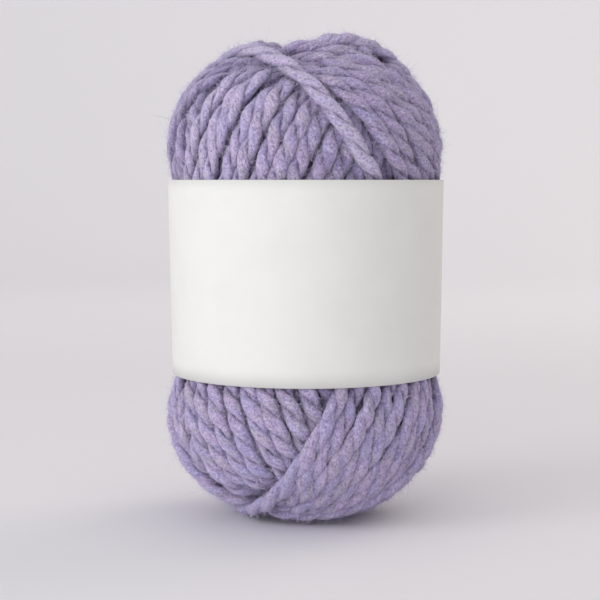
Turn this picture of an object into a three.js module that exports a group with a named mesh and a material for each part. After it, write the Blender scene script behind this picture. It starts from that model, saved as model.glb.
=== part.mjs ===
// A ball of chunky wool yarn, wound by machine and stood on end, with a plain paper band round its waist.
// Millimetres, +Z up, with the origin in the middle of the foot.
// Azimuth 0 faces the front, at -Y, and grows towards +X.
import * as THREE from "three";
import { ConvexHull } from "three/addons/math/ConvexHull.js";

const HEIGHT = 148;
const RADIUS = 42.6;

// The two rounded ends, a little fuller than half ellipses, and how far the foot is pressed flat.
const TOP_CAP = 38;
const FOOT_CAP = 34;
const FOOT_SINK = 2;
const FULLNESS = 2.15;

// One strand, as it lies: its width, the groove beside it, the paces in which it is laid, and how
// many of them lie between two points of the solid.
const STRAND = { width: 5.2, groove: 2.0, pace: 0.95, stride: 3 };

// The paper band: a strip glued into a ring, with its lap at the back.
const BAND = { foot: 44.5, top: 103, footRadius: 40.9, topRadius: 41.9, paper: 1, lap: 14, sides: 120 };
const GAP = 0.3;

// The turns over each end, oldest first. reach is how near a turn comes to the pole, from and to are
// the azimuths of the first and last turn where they come nearest, and lift is how far they stand out.
const TOP = 1;
const FOOT = -1;
const WINDING = [
  { end: TOP, reach: 7, from: 20, to: 350, turns: 12, lift: -3.4 },
  { end: TOP, reach: 16, from: 389, to: 29, turns: 46, lift: 0 },
  { end: TOP, reach: 24, from: -14, to: -62, turns: 7, lift: 0.7 },
  { end: FOOT, reach: 7, from: 10, to: 340, turns: 12, lift: 0.9 },
  { end: FOOT, reach: 15.5, from: 389, to: 29, turns: 42, lift: 0 },
  { end: FOOT, reach: 22, from: -11, to: -75, turns: 9, lift: 0.9 },
];

// A strand's section: places across it in widths, how deep each lies in the groove, and how many
// widths a place keeps from the middle of a newer strand to show.
const SECTION = [
  { across: 0, depth: 0, clear: 0.74 },
  { across: 0.49, depth: 1, clear: 0.62 },
  { across: -0.49, depth: 1, clear: 0.62 },
];
const LEAST_SPACING = 0.13;

// How deep the middle of the crown lies, and how far from the band its strands show.
const CROWN_HOLLOW = 6;
const EDGE_RISE = 4;
const SHOULDER = HEIGHT - TOP_CAP;
const CENTRE = new THREE.Vector3(0, 0, (BAND.foot + BAND.top) / 2);
const UP = new THREE.Vector3(0, 0, 1);

const radians = THREE.MathUtils.degToRad;

function at(azimuth, radius, z) {
  return new THREE.Vector3(radius * Math.sin(azimuth), -radius * Math.cos(azimuth), z);
}

// How far a point stands above a straight side's end, and how tall the rounded end there is.
function intoCap(point) {
  if (point.z > SHOULDER) return { rise: point.z - SHOULDER, cap: TOP_CAP };
  const cap = FOOT_CAP + FOOT_SINK;
  return { rise: Math.min(0, point.z - FOOT_CAP), cap };
}

// Outward slope of the plain form, a straight side with a rounded end above and below.
function slope(point) {
  const { rise, cap } = intoCap(point);
  const reach = Math.hypot(point.x, point.y);
  const level = (reach / RADIUS) ** (FULLNESS - 1) / (RADIUS * reach);
  const climb = (Math.sign(rise) * Math.abs(rise / cap) ** (FULLNESS - 1)) / cap;
  return new THREE.Vector3(point.x * level, point.y * level, climb).multiplyScalar(FULLNESS);
}

// Moves a point that is near the plain form onto it.
function settle(point) {
  const { rise, cap } = intoCap(point);
  const out = slope(point);
  const reach = Math.hypot(point.x, point.y) / RADIUS;
  const excess = reach ** FULLNESS + Math.abs(rise / cap) ** FULLNESS - 1;
  return point.addScaledVector(out, -excess / out.lengthSq());
}

// Half a turn laid straight over an end: from its nearest point to the pole, down to the band.
function halfTurn(end, reach) {
  const share = (1 - (reach / RADIUS) ** FULLNESS) ** (1 / FULLNESS);
  const z = end === TOP ? SHOULDER + TOP_CAP * share : FOOT_CAP - (FOOT_CAP + FOOT_SINK) * share;
  const edge = end === TOP ? BAND.top : BAND.foot;
  const place = at(0, reach, z);
  const heading = new THREE.Vector3(1, 0, 0);
  const stops = [];
  while ((place.z - edge) * end > 0) {
    const out = slope(place).normalize();
    heading.addScaledVector(out, -heading.dot(out)).normalize();
    stops.push({ place: place.clone(), out, side: out.clone().cross(heading) });
    settle(place.addScaledVector(heading, STRAND.pace));
  }
  return stops;
}

// A whole turn: the half turn and its mirror image, turned to their azimuth.
function wholeTurn(half, azimuth) {
  const turned = (vector) => vector.clone().applyAxisAngle(UP, azimuth);
  const mirrored = (vector) => new THREE.Vector3(-vector.x, vector.y, vector.z);
  const right = half.map(({ place, out, side }) => ({
    place: turned(place),
    out: turned(out),
    side: turned(side),
  }));
  const left = half.slice(1).map(({ place, out, side }) => ({
    place: turned(mirrored(place)),
    out: turned(mirrored(out)),
    side: turned(mirrored(side)),
  }));
  return left.reverse().concat(right);
}

// Every turn of the winding, the newest first, with the unevenness of a real ball.
function turns() {
  const all = [];
  for (const group of WINDING) {
    for (let i = 0; i < group.turns; i += 1) {
      const share = i / (group.turns - 1);
      const azimuth = THREE.MathUtils.lerp(group.from, group.to, share) + 0.6 * Math.sin(5 * i);
      const half = halfTurn(group.end, group.reach * (1 + 0.06 * Math.sin(3.1 * i)));
      all.push({ stops: wholeTurn(half, radians(azimuth)), lift: group.lift + 0.25 * Math.sin(2.3 * i) });
    }
  }
  return all.reverse();
}

// Points kept in cubes one strand wide, so that a search looks only at the cubes around a place.
class Cubes {
  cubes = new Map();

  add(point) {
    const key = this.cube(point).join();
    if (!this.cubes.has(key)) this.cubes.set(key, []);
    this.cubes.get(key).push(point);
  }

  cube(point) {
    return point.toArray().map((part) => Math.floor(part / STRAND.width));
  }

  holdsNear(point, distance) {
    const [x, y, z] = this.cube(point);
    const around = [-1, 0, 1];
    const near = (other) => point.distanceTo(other) < distance;
    return around.some((i) =>
      around.some((j) => around.some((k) => this.cubes.get([x + i, y + j, z + k].join())?.some(near))),
    );
  }
}

// Points on the crests and grooves that show: a turn hides what older turns have under it.
function strandPoints() {
  const shown = [];
  const taken = new Cubes();
  const newer = new Cubes();
  for (const turn of turns()) {
    for (const { across, depth, clear } of SECTION) {
      for (const { place, out, side } of turn.stops.filter((_, i) => i % STRAND.stride === 0)) {
        const spot = place.clone().addScaledVector(side, across * STRAND.width);
        if (newer.holdsNear(spot, clear * STRAND.width)) continue;
        spot.addScaledVector(out, turn.lift * (1 - 0.6 * depth) - STRAND.groove * depth);
        if (taken.holdsNear(spot, LEAST_SPACING * STRAND.width)) continue;
        taken.add(spot);
        shown.push(spot);
      }
    }
    turn.stops.forEach(({ place }) => newer.add(place));
  }
  return shown;
}

// The outer face of the band at a height, inside which the yarn is pressed smooth.
function bandRadius(z) {
  return THREE.MathUtils.mapLinear(z, BAND.foot, BAND.top, BAND.footRadius, BAND.topRadius);
}

// Rings of points under the band, close together at its two edges, where the yarn swells out.
function waistPoints() {
  const pressed = BAND.paper + GAP;
  const rows = [
    { z: BAND.foot - 2.9, count: 90, inset: -0.7 },
    { z: BAND.foot - GAP, count: 90, inset: pressed },
    { z: BAND.foot + 4, count: 45, inset: pressed },
    { z: CENTRE.z, count: 30, inset: pressed },
    { z: BAND.top - 4, count: 45, inset: pressed },
    { z: BAND.top + GAP, count: 90, inset: pressed },
    { z: BAND.top + 1.8, count: 90, inset: 0.4 },
  ];
  return rows.flatMap(({ z, count, inset }) => {
    const ring = Array.from({ length: count }, (_, i) => radians((360 * i) / count));
    return ring.map((azimuth) => at(azimuth, bandRadius(z) - inset, z));
  });
}

// One closed skin through points that each show from the middle of the ball.
function skin(points) {
  const directions = points.map((point) => point.clone().sub(CENTRE).normalize());
  const index = new Map(directions.map((direction, i) => [direction, i]));
  const triangles = [];
  for (const face of new ConvexHull().setFromPoints(directions).faces) {
    const corners = [];
    let edge = face.edge;
    do {
      corners.push(index.get(edge.head().point));
      edge = edge.next;
    } while (edge !== face.edge);
    for (let i = 2; i < corners.length; i += 1) triangles.push(corners[0], corners[i - 1], corners[i]);
  }
  return new THREE.BufferGeometry().setFromPoints(points).setIndex(triangles);
}

function yarnBall() {
  const shows = ({ z }) => z > BAND.top + EDGE_RISE || z < BAND.foot - EDGE_RISE;
  const free = strandPoints().filter(shows);
  for (const point of free) point.z = Math.max(point.z, 0);
  const hollow = new THREE.Vector3(0, 0, HEIGHT - CROWN_HOLLOW);
  const sole = new THREE.Vector3(0, 0, 0);
  const wool = new THREE.MeshStandardMaterial({ color: 0x9c8fb2, roughness: 0.95, metalness: 0 });
  const ball = new THREE.Mesh(skin([...free, ...waistPoints(), hollow, sole]), wool);
  ball.name = "yarn_ball";
  return ball;
}

// The band in plan: a ring one paper thick, twice that where its ends lap at the back.
function bandPlan() {
  const lap = BAND.lap / BAND.footRadius;
  const plan = new THREE.Shape();
  const hole = new THREE.Path();
  for (let i = 0; i < BAND.sides; i += 1) {
    const azimuth = (2 * Math.PI * i) / BAND.sides;
    const papers = Math.abs(azimuth - Math.PI) < lap / 2 ? 2 : 1;
    const inner = at(azimuth, BAND.footRadius - BAND.paper, 0);
    const outer = at(azimuth, BAND.footRadius - BAND.paper + papers * BAND.paper, 0);
    if (i === 0) plan.moveTo(outer.x, outer.y);
    else plan.lineTo(outer.x, outer.y);
    if (i === 0) hole.moveTo(inner.x, inner.y);
    else hole.lineTo(inner.x, inner.y);
  }
  plan.holes.push(hole);
  return plan;
}

function paperBand() {
  const tall = BAND.top - BAND.foot;
  const geometry = new THREE.ExtrudeGeometry(bandPlan(), { depth: tall, steps: 1, bevelEnabled: false });
  geometry.translate(0, 0, BAND.foot);
  const places = geometry.getAttribute("position");
  for (let i = 0; i < places.count; i += 1) {
    const flare = bandRadius(places.getZ(i)) / BAND.footRadius;
    places.setX(i, places.getX(i) * flare);
    places.setY(i, places.getY(i) * flare);
  }
  const paper = new THREE.MeshStandardMaterial({ color: 0xf0f0ec, roughness: 0.8, metalness: 0 });
  const band = new THREE.Mesh(geometry, paper);
  band.name = "paper_band";
  return band;
}

const yarn = new THREE.Group();
yarn.add(yarnBall(), paperBand());
export default yarn;
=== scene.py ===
# A ball of chunky lilac wool, wound by machine and stood on its end, with a bare paper band round
# its waist. Metres, +Z up, the front at -Y, and the origin in the middle of the foot.
import math

import bmesh
import bpy
import numpy as np
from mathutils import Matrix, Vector


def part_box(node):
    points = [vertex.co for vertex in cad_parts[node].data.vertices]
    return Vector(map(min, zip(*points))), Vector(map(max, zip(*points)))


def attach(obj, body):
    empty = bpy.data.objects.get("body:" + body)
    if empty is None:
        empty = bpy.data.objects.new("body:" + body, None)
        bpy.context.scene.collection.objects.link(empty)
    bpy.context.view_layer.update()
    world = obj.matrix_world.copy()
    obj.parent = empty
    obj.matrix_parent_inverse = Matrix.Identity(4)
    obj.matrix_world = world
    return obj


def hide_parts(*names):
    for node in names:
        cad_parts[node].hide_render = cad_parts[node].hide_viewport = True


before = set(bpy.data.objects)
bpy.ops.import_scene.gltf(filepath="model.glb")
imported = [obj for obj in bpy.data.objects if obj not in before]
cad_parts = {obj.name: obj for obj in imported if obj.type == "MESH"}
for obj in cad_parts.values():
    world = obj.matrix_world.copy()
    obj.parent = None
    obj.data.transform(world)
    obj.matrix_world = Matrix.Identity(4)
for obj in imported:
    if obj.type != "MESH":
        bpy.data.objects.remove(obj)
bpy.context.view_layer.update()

MM = 0.001
band_low, band_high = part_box("paper_band")


# The ball's bed, on which the outer turns lie: a straight drum with a rounded end above and below,
# each a little fuller than half an ellipsoid. Its own weight presses a small flat spot into the foot.
RADIUS = 42.6 * MM
CROWN_CAP = 38 * MM
FOOT_CAP = 34 * MM
FOOT_SINK = 2 * MM
SHOULDER = 110 * MM
FULLNESS = 2.15


def into_cap(points):
    z = points[..., 2]
    above = z > SHOULDER
    rise = np.where(above, z - SHOULDER, np.minimum(0, z - FOOT_CAP))
    return rise, np.where(above, CROWN_CAP, FOOT_CAP + FOOT_SINK)


def slope(points):
    rise, cap = into_cap(points)
    reach = np.maximum(np.hypot(points[..., 0], points[..., 1]), 0.01 * MM)
    level = (reach / RADIUS) ** (FULLNESS - 1) / (RADIUS * reach)
    climb = np.sign(rise) * np.abs(rise / cap) ** (FULLNESS - 1) / cap
    return FULLNESS * np.stack([points[..., 0] * level, points[..., 1] * level, climb], axis=-1)


def settle(points):
    rise, cap = into_cap(points)
    out = slope(points)
    reach = np.hypot(points[..., 0], points[..., 1]) / RADIUS
    excess = reach**FULLNESS + np.abs(rise / cap) ** FULLNESS - 1
    return points - out * (excess / (out**2).sum(-1))[..., None]


def unit(vectors):
    return vectors / np.linalg.norm(vectors, axis=-1, keepdims=True)


# How the winder lays the turns. Each goes straight over an end, from the waist up past the pole and
# down again, a few degrees round from the one before. The newest groups cross the older at a slant.
CROWN = 1
FOOT = -1

# Painted light and shade on a group's turns, darker below 0 and paler above it, at places between its
# oldest turn, 0, and its newest, 1: the paler turns are painted light and the darker ones painted
# shade.
EVEN = ([0], [0])
DARKER = ([0], [-0.5])
A_LITTLE_DARKER = ([0], [-0.2])
PALER = ([0], [1])
NEW_PALER = ([0, 0.68, 0.74, 0.84, 0.91, 1], [0, 0, -0.9, -0.6, 0.3, 0.9])

# In each group, oldest first, reach is how near the turns come to the pole, rise how high they lie on
# the bed and pile how much higher right over the pole, all in millimetres. first and last are where
# the first and last turn come nearest to the pole, in degrees from the front, growing to the right.
GROUPS = {
    CROWN: [
        {"reach": 6, "first": 20, "last": 300, "turns": 6, "rise": -7.5},
        {"reach": 11.5, "first": 20, "last": 348, "turns": 10, "rise": -4.6},
        {"reach": 17, "first": 389, "last": 29, "turns": 46, "rise": 0, "pile": 1.4, "painted_light_and_shade": NEW_PALER},
        {"reach": 23, "first": -6, "last": -47, "turns": 6, "rise": 0.4, "painted_light_and_shade": DARKER},
        {"reach": 24.5, "first": -62, "last": -62, "turns": 1, "rise": 0.3, "painted_light_and_shade": PALER},
    ],
    FOOT: [
        {"reach": 5.5, "first": 20, "last": 300, "turns": 6, "rise": -6.0},
        {"reach": 10.5, "first": 10, "last": 338, "turns": 10, "rise": -3.4},
        {"reach": 15.5, "first": 389, "last": 29, "turns": 42, "rise": 0},
        {"reach": 22, "first": -11, "last": -75, "turns": 9, "rise": 1.2, "painted_light_and_shade": A_LITTLE_DARKER},
    ],
}

# The height at which a pile begins, and how far above that it is full.
PILE_FROM = 137 * MM
PILE_OVER = 8 * MM

# The stops along a turn, the number of them from its middle to its end, and the draws of chance.
PACE = 1.25 * MM
HALF_TURN = 62
chance = np.random.default_rng(7)


def drift(rows, stops, spread):
    """Smooth chance along each row, about 1 in size, that changes over spread stops."""
    raw = chance.normal(size=(rows, stops + 6 * spread))
    bell = np.exp(-0.5 * (np.arange(-3 * spread, 3 * spread + 1) / spread) ** 2)
    bell /= np.sqrt((bell**2).sum())
    return np.array([np.convolve(row, bell, mode="valid") for row in raw])[:, :stops]


def lay_straight(end, reach, azimuth):
    """Turns laid straight over an end, one row of stops for each turn."""
    share = (1 - (reach / RADIUS) ** FULLNESS) ** (1 / FULLNESS)
    z = SHOULDER + CROWN_CAP * share if end == CROWN else FOOT_CAP - (FOOT_CAP + FOOT_SINK) * share
    place = np.stack([0 * reach, -reach, z], axis=-1)
    heading = np.tile([1.0, 0.0, 0.0], (len(reach), 1))
    right = []
    for _ in range(HALF_TURN):
        right.append(place)
        out = unit(slope(place))
        heading = unit(heading - out * (heading * out).sum(-1, keepdims=True))
        place = settle(place + heading * PACE)
    right = np.stack(right, axis=1)
    left = right[:, :0:-1] * [-1, 1, 1]
    path = np.concatenate([left, right], axis=1)
    cos = np.cos(azimuth)[:, None]
    sin = np.sin(azimuth)[:, None]
    x = path[..., 0] * cos - path[..., 1] * sin
    y = path[..., 0] * sin + path[..., 1] * cos
    return np.stack([x, y, path[..., 2]], axis=-1)


# How the turns bed down. Where turns cross, the newer one goes over and presses the older one in.
# Where a group's turns crowd near the pole, every second, fourth and eighth stays up and the others
# are squeezed under. The paper presses the waist in, and the floor the foot.
STRAND_WIDTH = 5.5 * MM
CROWDED = 3.9 * MM
STRAND_THICK = 3.2 * MM
DEEPEST = 4.6 * MM
SQUEEZE = 2.6 * MM
NEIGHBOURS = 8
BEDDING_ROUNDS = 5
UNEVEN_BED = 0.2 * MM
PAIRS_AT_ONCE = 400

# The paper: its thickness, how much lower its lower edge hangs at the front, its radius at the two
# edges, the room it leaves, how fast the wool swells out past it, and how far in it hides the wool.
PAPER = 0.3 * MM
PAPER_SAG = 0.9 * MM
BAND_TOP_RADIUS = 41.9 * MM
BAND_FOOT_RADIUS = 40.9 * MM
UNDER_PAPER = 0.35 * MM
SWELL = 0.8
TUCKED_IN = 7 * MM

# Near the floor, the height up to which it presses the wool, and the least that a face looks down.
NEAR_FLOOR = 8 * MM
LEAST_DOWN = 0.2

# When a turn is hidden: how much lower it lies than the one over it, how far out its edge is, how
# near the newer turn has to come to that, in widths, and how little of it is enough to be kept.
COVER_DEPTH = 1.4 * MM
EDGE = 0.36
COVER = 0.42
EDGES = (-1, -0.5, 0, 0.5, 1)
JUST_SHOWS = 0.05


def band_radius(z):
    share = (z - band_low.z) / (band_high.z - band_low.z)
    return BAND_FOOT_RADIUS + (BAND_TOP_RADIUS - BAND_FOOT_RADIUS) * share


def headroom(points):
    """How high the wool can stand at a place, under the paper and on the floor."""
    z = points[..., 2]
    beyond = np.maximum(0, np.maximum(z - band_high.z, band_low.z - PAPER_SAG - z))
    inside = band_radius(np.clip(z, band_low.z, band_high.z)) - PAPER - UNDER_PAPER
    under_paper = inside + SWELL * beyond - np.hypot(points[..., 0], points[..., 1])
    facing_down = np.minimum(unit(slope(points))[..., 2], -LEAST_DOWN)
    on_floor = np.where(z < NEAR_FLOOR, z / -facing_down, 1)
    return np.minimum(under_paper, on_floor)


def staying_up(count):
    """Which of a group's crowded turns stay up: the newest, then every eighth, fourth and second."""
    age = np.arange(count)[::-1]
    return (age % 2 == 0) * 1 + (age % 4 == 0) + (age % 8 == 0) + (age == 0)


def smoothed(rows, spread):
    bell = np.exp(-0.5 * (np.arange(-3 * spread, 3 * spread + 1) / spread) ** 2)
    bell /= bell.sum()
    padded = np.pad(rows, ((0, 0), (3 * spread, 3 * spread)), mode="edge")
    return np.array([np.convolve(row, bell, mode="valid") for row in padded])


def close_pairs(spots, turn, reach):
    """Every pair of places on different turns that are nearer than reach to each other."""
    lower, upper = [], []
    for start in range(0, len(spots), PAIRS_AT_ONCE):
        rows = spots[start : start + PAIRS_AT_ONCE]
        gap = np.linalg.norm(rows[:, None] - spots[None], axis=-1)
        i, j = np.nonzero(gap < reach)
        i += start
        other = turn[i] != turn[j]
        lower.append(i[other])
        upper.append(j[other])
    return np.concatenate(lower), np.concatenate(upper)


def bed_down(path, out, across, group, rank, rise):
    """How high each stop of each turn comes to lie above the bed, and which stops show."""
    turns, stops, _ = path.shape
    turn = np.repeat(np.arange(turns), stops)
    spots = path.reshape(-1, 3)
    i, j = close_pairs(spots, turn, STRAND_WIDTH)
    beside = (group[turn[i]] == group[turn[j]]) & (np.abs(turn[i] - turn[j]) <= NEIGHBOURS)
    newer = turn[j] > turn[i]
    stays = np.where(rank[turn[i]] == rank[turn[j]], newer, rank[turn[j]] > rank[turn[i]])
    over = np.where(beside, stays, newer)
    i, j, beside = i[over], j[over], beside[over]
    gap = np.linalg.norm(spots[i] - spots[j], axis=-1)
    crossing = np.sqrt(np.maximum(0, 1 - (gap / STRAND_WIDTH) ** 2))
    crowding = np.maximum(0, 1 - gap / CROWDED)
    press = STRAND_THICK * np.where(beside, crowding, crossing)
    room = headroom(path)
    free = np.minimum(rise + UNEVEN_BED * drift(turns, stops, 8), room)
    height = free
    for _ in range(BEDDING_ROUNDS):
        pressed = height.ravel().copy()
        np.minimum.at(pressed, i, height.ravel()[j] - press)
        pressed = np.maximum(pressed.reshape(turns, stops), np.minimum(free - SQUEEZE, -DEEPEST))
        height = np.minimum(smoothed(pressed, 2), room)
    level = height.ravel()
    covers = level[j] - level[i] > COVER_DEPTH
    i, j = i[covers], j[covers]
    hidden = np.ones(len(spots), dtype=bool)
    for side in EDGES:
        edge = spots[i] + across.reshape(-1, 3)[i] * (side * EDGE * STRAND_WIDTH)
        covered = np.zeros(len(spots), dtype=bool)
        near = np.linalg.norm(spots[j] - edge, axis=-1) < COVER * STRAND_WIDTH
        np.logical_or.at(covered, i, near)
        hidden &= covered
    z = path[..., 2]
    under_paper = (z < band_high.z - TUCKED_IN) & (z > band_low.z + TUCKED_IN)
    shown = ~hidden.reshape(turns, stops) & ~under_paper
    return height, smoothed(shown.astype(float), 1) > JUST_SHOWS


# The plies. The strand is two soft plies turned round each other to the left. A ply that lies on top
# is squeezed flat and wide by its own tension, so that the strand stays about as wide all along.
PLY_RADIUS = 1.5 * MM
PLY_SPREAD = 1.28 * MM
PLY_HEIGHT = 0.72 * MM
PLY_WIDENING = 0.45
TWIST_LENGTH = 15.5 * MM
SLACK_TWIST = 22 * MM
TIGHT_SIZE = 0.93
SPIN_LENGTH = 15 * MM
SIDES = 8

# How much the plies vary: their width, their surface, their twist, and how flat the upper one is.
SIZE_VARIES = 0.08
SURFACE_VARIES = 0.03
TWIST_VARIES = 0.1
UPPER_FLATTER = 0.1

# How the turns stray: in reach, in azimuth in degrees, and sideways along the way. Their edges lean
# over, more so away from the middle of the turn.
REACH_STRAYS = 0.06
AZIMUTH_STRAYS = 0.45
PATH_STRAYS = 0.2 * MM
LEAN = math.radians(7)
LEAN_STOPS = 14

# What the finish reads. depth is in millimetres and sets the painted shade in the wool's colour: it is
# less where the whole strand is pressed in and more, by CREASE, where two plies meet, which paints
# shade into the crease between them. tone is chance along a turn and from turn to turn, and more
# where the wool is greyer. fibre runs on along the ply, far apart from turn to turn.
CREASE = 2.0
CREASE_FROM = 0.25
CREASE_OVER = 0.6
PRESSED_IN = 0.6
TONE_ALONG = 0.8
TONE_OF_TURN = 0.5
TIGHT_GREY = 1.3
TURNS_APART = 300
PLIES_APART = 5000
FLOOR_CLEAR = 0.02 * MM


def ply_rings(bed, ply):
    """One ply of every turn as rings of points, with what the wool's finish reads at each point."""
    path, out, across = bed["path"], bed["out"], bed["across"]
    turns, stops, _ = path.shape
    middle = path + out * (bed["height"] - PLY_HEIGHT - PLY_RADIUS)[..., None]
    step = np.linalg.norm(np.diff(middle, axis=1, prepend=middle[:, :1]), axis=-1)
    length = np.cumsum(step, axis=1)
    angle = 2 * math.pi * np.cumsum(step * bed["twist"], axis=1) + bed["start"][:, None] + math.pi * ply
    lateral, vertical = np.cos(angle), np.sin(angle)
    core = middle + across * (bed["size"] * PLY_SPREAD * lateral)[..., None]
    core += out * (bed["size"] * PLY_HEIGHT * vertical)[..., None]
    ahead = unit(np.gradient(core, axis=1))
    up = unit(out - ahead * (out * ahead).sum(-1, keepdims=True))
    right = np.cross(ahead, up)
    size = PLY_RADIUS * bed["size"] * (1 + SIZE_VARIES * drift(turns, stops, 3))
    wide = (size * (1 + PLY_WIDENING * vertical**2))[..., None, None]
    tall = (size * (1 - UPPER_FLATTER * vertical**2))[..., None, None]
    round_ply = np.linspace(0, 2 * math.pi, SIDES, endpoint=False)
    cos, sin = np.cos(round_ply)[:, None], np.sin(round_ply)[:, None]
    uneven = 1 + SURFACE_VARIES * chance.normal(size=(turns, stops, SIDES, 1))
    ring = uneven * (wide * right[:, :, None] * cos + tall * up[:, :, None] * sin)
    points = core[:, :, None] + ring
    points[..., 2] = np.maximum(points[..., 2], FLOOR_CLEAR)
    surface = np.minimum(np.minimum(0, headroom(path)), PRESSED_IN * bed["height"])[..., None]
    depth = (surface - ((points - path[:, :, None]) * out[:, :, None]).sum(-1)) / MM
    # Painted shade where two plies meet: depth, and with it the darkening, is raised along the crease.
    inward = -(unit(ring) * unit(core - middle)[:, :, None]).sum(-1)
    depth += CREASE * np.clip((inward - CREASE_FROM) / CREASE_OVER, 0, 1)
    spin = round_ply - (2 * math.pi * length / SPIN_LENGTH)[..., None]
    run = length[..., None] / MM + TURNS_APART * bed["start"][:, None, None]
    run = run + PLIES_APART * ply + 0 * spin
    fibre = np.stack([np.cos(spin), np.sin(spin), run], axis=-1)
    tone = TONE_ALONG * drift(turns, stops, 6) + TONE_OF_TURN * chance.normal(size=(turns, 1))
    tone = (tone + bed["grey"])[..., None] + 0 * spin
    pale = bed["pale"][:, None, None] + 0 * spin
    return {"points": points, "depth": depth, "fibre": fibre, "tone": tone, "pale": pale}


def wind(end):
    """All the turns over one end, bedded down, with their plies."""
    groups = GROUPS[end]
    counts = [g["turns"] for g in groups]
    group = np.repeat(np.arange(len(groups)), counts)
    total = len(group)
    reach = np.array([groups[k]["reach"] for k in group])
    reach = reach * (1 + REACH_STRAYS * chance.normal(size=total)) * MM
    azimuth = np.concatenate([np.linspace(g["first"], g["last"], g["turns"]) for g in groups])
    azimuth = np.radians(azimuth + AZIMUTH_STRAYS * chance.normal(size=total))
    path = lay_straight(end, reach, azimuth)
    stops = path.shape[1]
    out = unit(slope(path))
    across = np.cross(unit(np.gradient(path, axis=1)), out)
    path = settle(path + across * (PATH_STRAYS * drift(total, stops, 9))[..., None])
    out = unit(slope(path))
    across = np.cross(unit(np.gradient(path, axis=1)), out)
    rank = np.concatenate([staying_up(n) for n in counts])
    rise = np.array([groups[k]["rise"] for k in group])[:, None]
    pile = np.array([groups[k].get("pile", 0) for k in group])[:, None]
    rise = (rise + pile * np.clip((path[..., 2] - PILE_FROM) / PILE_OVER, 0, 1)) * MM
    height, shown = bed_down(path, out, across, group, rank, rise)
    lean = -LEAN * np.tanh((np.arange(stops) - HALF_TURN) / LEAN_STOPS)[None, :, None]
    newest = (np.arange(total) == total - 1)[:, None]
    tight = (azimuth < 0)[:, None]
    twist = 1 + TWIST_VARIES * drift(total, stops, 7)
    shares = [np.linspace(0, 1, g["turns"]) for g in groups]
    # Painted light and shade for each turn, from its place in its group.
    painted_levels = [np.interp(share, *g.get("painted_light_and_shade", EVEN)) for share, g in zip(shares, groups)]
    bed = {
        "path": path,
        "out": unit(out - across * lean),
        "across": unit(across + out * lean),
        "height": height,
        "twist": twist / np.where(newest, SLACK_TWIST, TWIST_LENGTH),
        "size": np.where(tight, TIGHT_SIZE, 1),
        "grey": np.where(tight & (end == CROWN), TIGHT_GREY, 0),
        "start": chance.uniform(0, 2 * math.pi, total),
        "pale": np.concatenate(painted_levels),
    }
    plies = [ply_rings(bed, ply) for ply in (0, 1)]
    rings = {key: np.concatenate([plies[0][key], plies[1][key]]) for key in plies[0]}
    return rings, np.concatenate([shown, shown])


def ply_mesh(name, rings, shown):
    """A mesh of the stretches of each ply that show, closed at both ends of each stretch."""
    picked, faces, base = [], [], 0
    for row, visible in enumerate(shown):
        edges = np.flatnonzero(np.diff(np.concatenate([[0], visible, [0]])))
        for first, last in edges.reshape(-1, 2):
            stops = last - first
            if stops < 3:
                continue
            picked.append((row, first, last))
            here = np.arange((stops - 1) * SIDES)
            after = np.where(here % SIDES == SIDES - 1, here + 1 - SIDES, here + 1)
            quads = np.stack([here, after, after + SIDES, here + SIDES], axis=-1) + base
            faces += quads.tolist()
            faces.append((base + np.arange(SIDES)[::-1]).tolist())
            faces.append((base + (stops - 1) * SIDES + np.arange(SIDES)).tolist())
            base += stops * SIDES
    chosen = {}
    for key, values in rings.items():
        stretches = [values[row, first:last] for row, first, last in picked]
        chosen[key] = np.concatenate([part.reshape(-1, *values.shape[3:]) for part in stretches])
    mesh = bpy.data.meshes.new(name)
    mesh.from_pydata(chosen.pop("points").tolist(), [], faces)
    mesh.shade_smooth()
    for key, values in chosen.items():
        vector = values.ndim == 2
        layer = mesh.attributes.new(key, "FLOAT_VECTOR" if vector else "FLOAT", "POINT")
        layer.data.foreach_set("vector" if vector else "value", values.ravel().astype(np.float32))
    piece = bpy.data.objects.new(name, mesh)
    bpy.context.collection.objects.link(piece)
    return piece


class Socket:
    """An output of a material's node, on which sums are written as on a number."""

    def __init__(self, tree, socket):
        self.tree = tree
        self.socket = socket

    def sum(self, operation, first, second, clamp=False):
        settings = {"operation": operation, "use_clamp": clamp}
        return add_node(self.tree, "ShaderNodeMath", settings, {0: first, 1: second})

    def __add__(self, other):
        return self.sum("ADD", self, other)

    def __radd__(self, other):
        return self.sum("ADD", other, self)

    def __sub__(self, other):
        return self.sum("SUBTRACT", self, other)

    def __rsub__(self, other):
        return self.sum("SUBTRACT", other, self)

    def __mul__(self, other):
        return self.sum("MULTIPLY", self, other)

    def __rmul__(self, other):
        return self.sum("MULTIPLY", other, self)

    def between(self, low, high):
        """0 at low and under, 1 at high and over, and even between them."""
        return self.sum("DIVIDE", self - low, high - low, clamp=True)


def add_node(tree, kind, settings, inputs, output=0):
    """A node with its settings made first, then the values or links of its sockets."""
    made = tree.nodes.new(kind)
    for key, value in settings.items():
        setattr(made, key, value)
    for key, value in inputs.items():
        if isinstance(value, Socket):
            tree.links.new(value.socket, made.inputs[key])
        else:
            made.inputs[key].default_value = value
    return Socket(tree, made.outputs[output])


def noise(place, scale, detail, roughness=0.5):
    inputs = {"Vector": place, "Scale": scale, "Detail": detail, "Roughness": roughness}
    return add_node(place.tree, "ShaderNodeTexNoise", {}, inputs)


def stretched(place, factors):
    inputs = {0: place, 1: factors}
    return add_node(place.tree, "ShaderNodeVectorMath", {"operation": "MULTIPLY"}, inputs)


def blend(amount, first, second):
    inputs = {0: amount, 6: first, 7: second}
    return add_node(amount.tree, "ShaderNodeMix", {"data_type": "RGBA"}, inputs, 2)


def relief(height, strength, distance):
    inputs = {"Height": height, "Strength": strength, "Distance": distance}
    return add_node(height.tree, "ShaderNodeBump", {}, inputs)


def start_finish(name):
    material = bpy.data.materials.new(name)
    material.use_nodes = True
    return material, material.node_tree, material.node_tree.nodes["Principled BSDF"]
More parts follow.
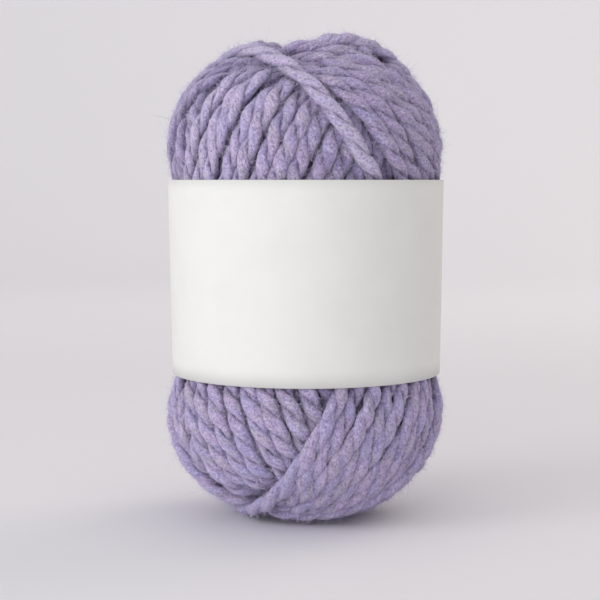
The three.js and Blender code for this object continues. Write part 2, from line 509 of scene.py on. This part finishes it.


# The wool: lilac fibres mixed with blue, pink and grey ones, so that the colour changes in streaks
# along a ply and in patches from one stretch of it to the next. It is painted darker between the
# strands and where plies meet, a painted shade, and whole groups of turns carry painted light and
# shade.
BLUE_LILAC = (0.515, 0.455, 0.775, 1)
PINK_LILAC = (0.63, 0.49, 0.745, 1)
HEATHER_GREY = (0.48, 0.445, 0.52, 1)
# Painted light and painted shade: the lilacs with which whole groups of turns are made paler or darker.
PAINTED_LIGHT_LILAC = (0.82, 0.735, 0.98, 1)
PAINTED_SHADE_LILAC = (0.24, 0.19, 0.38, 1)
DARK_FIBRE = (0.21, 0.165, 0.35, 1)
LIGHT_FIBRE = (0.86, 0.80, 0.98, 1)
# A painted shade: the dark purple that the wool is painted with deep between strands and plies, and the
# depths in millimetres over which it comes in.
GROOVE_SHADE = (0.11, 0.075, 0.19, 1)
GROOVE_SHADE_FROM = 0.9
GROOVE_SHADE_FULL = 3.1


def heathered_wool():
    material, tree, shader = start_finish("lilac_wool")
    fibre = add_node(tree, "ShaderNodeAttribute", {"attribute_name": "fibre"}, {}, "Vector")
    tone = add_node(tree, "ShaderNodeAttribute", {"attribute_name": "tone"}, {}, "Fac")
    depth = add_node(tree, "ShaderNodeAttribute", {"attribute_name": "depth"}, {}, "Fac")
    pale = add_node(tree, "ShaderNodeAttribute", {"attribute_name": "pale"}, {}, "Fac")
    place = add_node(tree, "ShaderNodeTexCoord", {}, {}, "Object")
    streaks = noise(stretched(fibre, (2.8, 2.8, 0.9)), 1.0, 4.0, 0.7)
    tufts = noise(stretched(fibre, (1.4, 1.4, 0.5)), 1.0, 2.0, 0.6)
    patches = noise(stretched(fibre, (0.45, 0.45, 0.1)), 1.0, 1.0)
    greys = noise(stretched(fibre, (0.7, 0.7, 0.13)), 1.3, 2.0)
    grain = noise(place, 1500.0, 3.0, 0.75)
    lilac = blend((patches + tone * 0.05).between(0.36, 0.64), BLUE_LILAC, PINK_LILAC)
    heather = blend((greys + tone * 0.04).between(0.5, 0.66) * 0.75, lilac, HEATHER_GREY)
    # Painted light and shade: whole groups of turns are made paler or darker.
    paler = blend(pale.between(0, 1) * 0.42, heather, PAINTED_LIGHT_LILAC)
    lit_and_shaded = blend(pale.between(0, -1) * 0.45, paler, PAINTED_SHADE_LILAC)
    mix = streaks * 0.45 + grain * 0.55
    dark = blend(mix.between(0.51, 0.38) * 0.88, lit_and_shaded, DARK_FIBRE)
    light = blend(mix.between(0.51, 0.64) * 0.8, dark, LIGHT_FIBRE)
    # Painted shade: the colour turns dark purple with depth, in the gaps between strands and where
    # plies meet.
    groove_shade = blend(depth.between(GROOVE_SHADE_FROM, GROOVE_SHADE_FULL) * 0.9, light, GROOVE_SHADE)
    tree.links.new(groove_shade.socket, shader.inputs["Base Color"])
    felt = relief(streaks * 0.6 + tufts * 0.8 + grain, 1.0, 0.7 * MM)
    tree.links.new(felt.socket, shader.inputs["Normal"])
    shader.inputs["Roughness"].default_value = 0.95
    shader.inputs["Specular IOR Level"].default_value = 0.1
    shader.inputs["Sheen Weight"].default_value = 0.7
    shader.inputs["Sheen Roughness"].default_value = 0.5
    shader.inputs["Sheen Tint"].default_value = (0.85, 0.80, 0.95, 1)
    return material


# The turns over each end, in as many pieces as the limit on a piece's triangles asks for.
MOST_TRIANGLES = 190000
wool = heathered_wool()
wound = {}
for end, label in ((CROWN, "crown_turns"), (FOOT, "foot_turns")):
    rings, shown = wind(end)
    wound[end] = rings, shown
    sizes = np.cumsum(2 * SIDES * shown.sum(axis=1))
    share_out = (sizes // MOST_TRIANGLES).astype(int)
    for number in range(share_out.max() + 1):
        rows = share_out == number
        piece = ply_mesh(f"{label}_{number + 1}", {k: v[rows] for k, v in rings.items()}, shown[rows])
        piece.data.materials.append(wool)
        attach(piece, "root")
        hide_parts("yarn_ball")


# The fuzz: ends of fibres that have worked loose from the plies, most of them short and lying back
# along the strand, and a few long and curled. They make the outline of the wool soft. Each is a
# narrow ribbon that tapers to its tip, bent once if it is short and more often if it is long.
HAIR_WIDTH = 0.1 * MM
TIP_TAPER = 0.5
ROOT_SUNK = 0.1 * MM
SIDEWAYS = 0.6

# Where roots may be: above and below the band, off the floor, not facing in, and how deep at most.
# Below those, how near the band a hair may come.
ROOTS_ABOVE = 0.4 * MM
ROOTS_BELOW = 1.3 * MM
OFF_FLOOR = 0.4 * MM
LEAST_FACING = -0.3
DEEPEST_ROOT = 3.2
HAIRS_ABOVE = 0.3 * MM
HAIRS_BELOW = 1.2 * MM


def hair_roots():
    """Where hairs leave the plies: the place, the way out and the way along the ply."""
    roots, outs, alongs = [], [], []
    for rings, shown in wound.values():
        points = rings["points"]
        along = unit(np.gradient(points, axis=1))
        outward = unit(points - points.mean(axis=2, keepdims=True))
        z = points[..., 2]
        free = (z > band_high.z + ROOTS_ABOVE) | ((z < band_low.z - ROOTS_BELOW) & (z > OFF_FLOOR))
        facing = (outward * unit(slope(points))).sum(-1) > LEAST_FACING
        good = free & facing & shown[..., None] & (rings["depth"] < DEEPEST_ROOT)
        roots.append(points[good])
        outs.append(outward[good])
        alongs.append(along[good])
    return np.concatenate(roots), np.concatenate(outs), np.concatenate(alongs)


def grow(count, stops, lengths, lifts, curls):
    """The corners of hairs, two at each stop and one at the tip, for hairs clear of the paper."""
    pick = chance.integers(len(hair_root), size=count)
    root, out, along = hair_root[pick], hair_out[pick], hair_along[pick]
    side = np.cross(along, out)
    root = root + along * (PACE * chance.uniform(-0.5, 0.5, (count, 1))) - out * ROOT_SUNK
    length = chance.uniform(*lengths, (count, 1)) * MM
    lift = np.radians(chance.uniform(*lifts, (count, 1)))
    way = np.where(chance.uniform(size=(count, 1)) < 0.5, -1, 1)
    lead = unit(along * way + side * chance.normal(0, SIDEWAYS, (count, 1)))
    start = lead * np.cos(lift) + out * np.sin(lift)
    curl = unit(chance.normal(size=(count, 3)) - 0.5 * out) * chance.uniform(*curls, (count, 1))
    share = np.linspace(0, 1, stops)[None, :, None]
    middle = root[:, None] + length[:, None] * (start[:, None] * share + curl[:, None] * share**2)
    z = middle[..., 2]
    over_paper = (z > band_low.z - HAIRS_BELOW) & (z < band_high.z + HAIRS_ABOVE)
    clear = ~over_paper.any(axis=1)
    middle, start = middle[clear], start[clear]
    flat = unit(np.cross(start, chance.normal(size=start.shape)))[:, None] * HAIR_WIDTH / 2
    taper = np.linspace(1, TIP_TAPER, stops - 1)[None, :, None]
    pairs = np.stack([middle[:, :-1] - flat * taper, middle[:, :-1] + flat * taper], axis=2)
    corners = np.concatenate([pairs.reshape(len(pairs), -1, 3), middle[:, -1:]], axis=1)
    corners[..., 2] = np.maximum(corners[..., 2], FLOOR_CLEAR)
    return corners


def hair_finish():
    material, tree, shader = start_finish("loose_fibre")
    place = add_node(tree, "ShaderNodeTexCoord", {}, {}, "Object")
    patches = noise(place, 160.0, 2.0).between(0.35, 0.65)
    colour = blend(patches, (0.56, 0.50, 0.76, 1), (0.68, 0.61, 0.78, 1))
    tree.links.new(colour.socket, shader.inputs["Base Color"])
    shader.inputs["Roughness"].default_value = 0.8
    shader.inputs["Specular IOR Level"].default_value = 0.2
    return material


# Lengths are in millimetres, and lifts, from the lie of the ply, in degrees.
hair_root, hair_out, hair_along = hair_roots()
fibre_finish = hair_finish()
for name, count, stops, lengths, lifts, curls, pieces in (
    ("short_fuzz", 125000, 3, (0.8, 3.2), (10, 70), (0.1, 0.5), 2),
    ("long_fuzz", 1200, 8, (3.5, 7.5), (20, 65), (0.2, 0.8), 1),
):
    hairs = grow(count, stops, lengths, lifts, curls)
    tip = 2 * stops - 2
    pattern = []
    for k in range(0, tip - 2, 2):
        pattern += [(k, k + 1, k + 3), (k, k + 3, k + 2)]
    pattern = np.array(pattern + [(tip - 2, tip - 1, tip)])
    for number, share in enumerate(np.array_split(hairs, pieces)):
        mesh = bpy.data.meshes.new(f"{name}_{number + 1}")
        faces = pattern[None] + (np.arange(len(share)) * share.shape[1])[:, None, None]
        mesh.from_pydata(share.reshape(-1, 3).tolist(), [], faces.reshape(-1, 3).tolist())
        mesh.materials.append(fibre_finish)
        piece = bpy.data.objects.new(mesh.name, mesh)
        bpy.context.collection.objects.link(piece)
        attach(piece, "root")
        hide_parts("yarn_ball")


# The heart of the ball: older turns, pressed together under the ones that show, coloured dark as a
# painted shade in the gaps between them. It keeps further back at both ends, so that the hollow in the
# crown stays open.
HEART_DEPTH = 6 * MM
HEART_HOLLOW = 14 * MM


def heart():
    form = bmesh.new()
    bmesh.ops.create_uvsphere(form, u_segments=64, v_segments=40, radius=1)
    for vert in form.verts:
        tall = vert.co.z
        cap = CROWN_CAP if tall > 0 else FOOT_CAP
        base = SHOULDER if tall > 0 else FOOT_CAP
        if abs(tall) < 0.001:
            vert.co.z = (SHOULDER + FOOT_CAP) / 2
        else:
            vert.co.z = base + math.copysign(abs(tall) ** (2 / FULLNESS), tall) * (cap - HEART_HOLLOW)
        level = math.hypot(vert.co.x, vert.co.y)
        widen = level ** (2 / FULLNESS - 1) * (RADIUS - HEART_DEPTH) if level > 0 else 0
        vert.co.x *= widen
        vert.co.y *= widen
    mesh = bpy.data.meshes.new("heart")
    form.to_mesh(mesh)
    form.free()
    mesh.shade_smooth()
    # Painted shade: the heart is a dark mottled purple, standing for the shade deep in the gaps between
    # the turns.
    material, tree, shader = start_finish("painted_shade_heart")
    place = add_node(tree, "ShaderNodeTexCoord", {}, {}, "Object")
    mottle = noise(place, 900.0, 3.0, 0.6).between(0.35, 0.65)
    colour = blend(mottle, (0.10, 0.08, 0.17, 1), (0.20, 0.17, 0.29, 1))
    tree.links.new(colour.socket, shader.inputs["Base Color"])
    shader.inputs["Roughness"].default_value = 0.95
    mesh.materials.append(material)
    piece = bpy.data.objects.new("heart", mesh)
    bpy.context.collection.objects.link(piece)
    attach(piece, "root")


heart()


# The paper band: a strip of smooth white paper wrapped round the waist and glued where its ends
# lap at the back. It is a touch narrower at its lower edge, where the wool swells out under it.
BAND_LAP = 14 * MM
LAP_LIFT = 1.2 * PAPER
PAPER_WAVE = 0.06 * MM
lap_angle = BAND_LAP / BAND_TOP_RADIUS
strip = bmesh.new()
bmesh.ops.create_grid(strip, x_segments=160, y_segments=12, size=0.5)
for vert in strip.verts:
    along = vert.co.x + 0.5
    up = vert.co.y + 0.5
    azimuth = math.pi - lap_angle / 2 + (2 * math.pi + lap_angle) * along
    sag = PAPER_SAG * (1 - up) * (1 + math.cos(azimuth)) / 2
    z = band_low.z + up * (band_high.z - band_low.z) - sag
    covered = (1 - along) * (2 * math.pi + lap_angle) / lap_angle
    lift = LAP_LIFT * min(1.0, max(0.0, 2 - covered))
    radius = band_radius(z) + lift + PAPER_WAVE * math.sin(3 * azimuth + 60 * z)
    vert.co = Vector((radius * math.sin(azimuth), -radius * math.cos(azimuth), z))
bmesh.ops.recalc_face_normals(strip, faces=strip.faces)
mesh = bpy.data.meshes.new("waist_paper")
strip.to_mesh(mesh)
strip.free()
mesh.shade_smooth()
material, tree, shader = start_finish("white_paper")
place = add_node(tree, "ShaderNodeTexCoord", {}, {}, "Object")
pulp = noise(place, 2600.0, 4.0, 0.6)
cloud = noise(place, 90.0, 3.0, 0.55).between(0.3, 0.7)
white = blend(cloud, (0.81, 0.81, 0.775, 1), (0.835, 0.835, 0.8, 1))
tree.links.new(white.socket, shader.inputs["Base Color"])
tree.links.new((0.62 + 0.16 * pulp).socket, shader.inputs["Roughness"])
tree.links.new(relief(pulp, 0.12, 0.1 * MM).socket, shader.inputs["Normal"])
shader.inputs["Specular IOR Level"].default_value = 0.3
mesh.materials.append(material)
waist_paper = bpy.data.objects.new("waist_paper", mesh)
bpy.context.collection.objects.link(waist_paper)
wall = waist_paper.modifiers.new("thickness", "SOLIDIFY")
wall.thickness = PAPER
wall.offset = -1
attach(waist_paper, "root")
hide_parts("paper_band")


# The studio: a pale floor that sweeps up into a pale wall behind the ball.
FLOOR_FRONT = -1.6
FLOOR_BACK = 1.2
SWEEP_BEND = 0.6
SWEEP_RUN = 5.0
sweep = bmesh.new()
bmesh.ops.create_grid(sweep, x_segments=1, y_segments=60, size=1)
for vert in sweep.verts:
    run = FLOOR_FRONT + (vert.co.y + 1) / 2 * SWEEP_RUN
    turn = min(max(0.0, run - FLOOR_BACK) / SWEEP_BEND, math.pi / 2)
    climb = max(0.0, run - FLOOR_BACK - SWEEP_BEND * math.pi / 2)
    y = min(run, FLOOR_BACK) + SWEEP_BEND * math.sin(turn)
    vert.co = Vector((vert.co.x * 3, y, SWEEP_BEND * (1 - math.cos(turn)) + climb))
bmesh.ops.recalc_face_normals(sweep, faces=sweep.faces)
mesh = bpy.data.meshes.new("studio_sweep")
sweep.to_mesh(mesh)
sweep.free()
mesh.shade_smooth()
material, tree, shader = start_finish("studio_grey")
shader.inputs["Base Color"].default_value = (0.87, 0.855, 0.875, 1)
shader.inputs["Roughness"].default_value = 0.7
mesh.materials.append(material)
studio_sweep = bpy.data.objects.new("studio_sweep", mesh)
bpy.context.collection.objects.link(studio_sweep)


# The light: two broad windows to the left and the front, a warm wall far to the right, a lamp that
# lights only the wall behind, and the room's own pale light.
def area_light(name, place, aim, size, energy, colour):
    lamp = bpy.data.lights.new(name, "AREA")
    lamp.shape = "RECTANGLE"
    lamp.size, lamp.size_y = size
    lamp.energy = energy
    lamp.color = colour
    stand = bpy.data.objects.new(name, lamp)
    stand.location = place
    stand.rotation_euler = (Vector(aim) - Vector(place)).to_track_quat("-Z", "Y").to_euler()
    bpy.context.collection.objects.link(stand)


area_light("left_window", (-1.5, -0.85, 0.8), (0, 0, 0.07), (1.0, 1.0), 10.2, (0.99, 0.992, 0.995))
area_light("front_window", (-0.65, -1.6, 0.5), (0, 0, 0.07), (1.0, 1.0), 7.6, (0.99, 0.995, 1.0))
area_light("warm_wall", (1.15, 0.95, 1.1), (0.15, 0, 0), (1.0, 1.0), 6.2, (1.0, 0.87, 0.74))
area_light("wall_lamp", (0.1, 0.7, 0.65), (0.1, 1.8, 0.05), (1.6, 0.3), 0.75, (0.97, 1.0, 1.0))
world = bpy.data.worlds.new("room_light")
world.use_nodes = True
world.node_tree.nodes["Background"].inputs["Color"].default_value = (0.97, 0.965, 1.0, 1)
world.node_tree.nodes["Background"].inputs["Strength"].default_value = 0.56
bpy.context.scene.world = world
bpy.context.scene.view_settings.view_transform = "Standard"

# The camera, at the height of the band's upper edge and looking a little down.
lens = bpy.data.cameras.new("camera")
lens.lens = 99.4
lens.clip_start = 10 * MM
camera = bpy.data.objects.new("camera", lens)
camera.location = (-1.85 * MM, -510 * MM, 103 * MM)
camera.rotation_euler = (math.radians(90 - 4.15), 0, 0)
bpy.context.collection.objects.link(camera)
bpy.context.scene.camera = camera
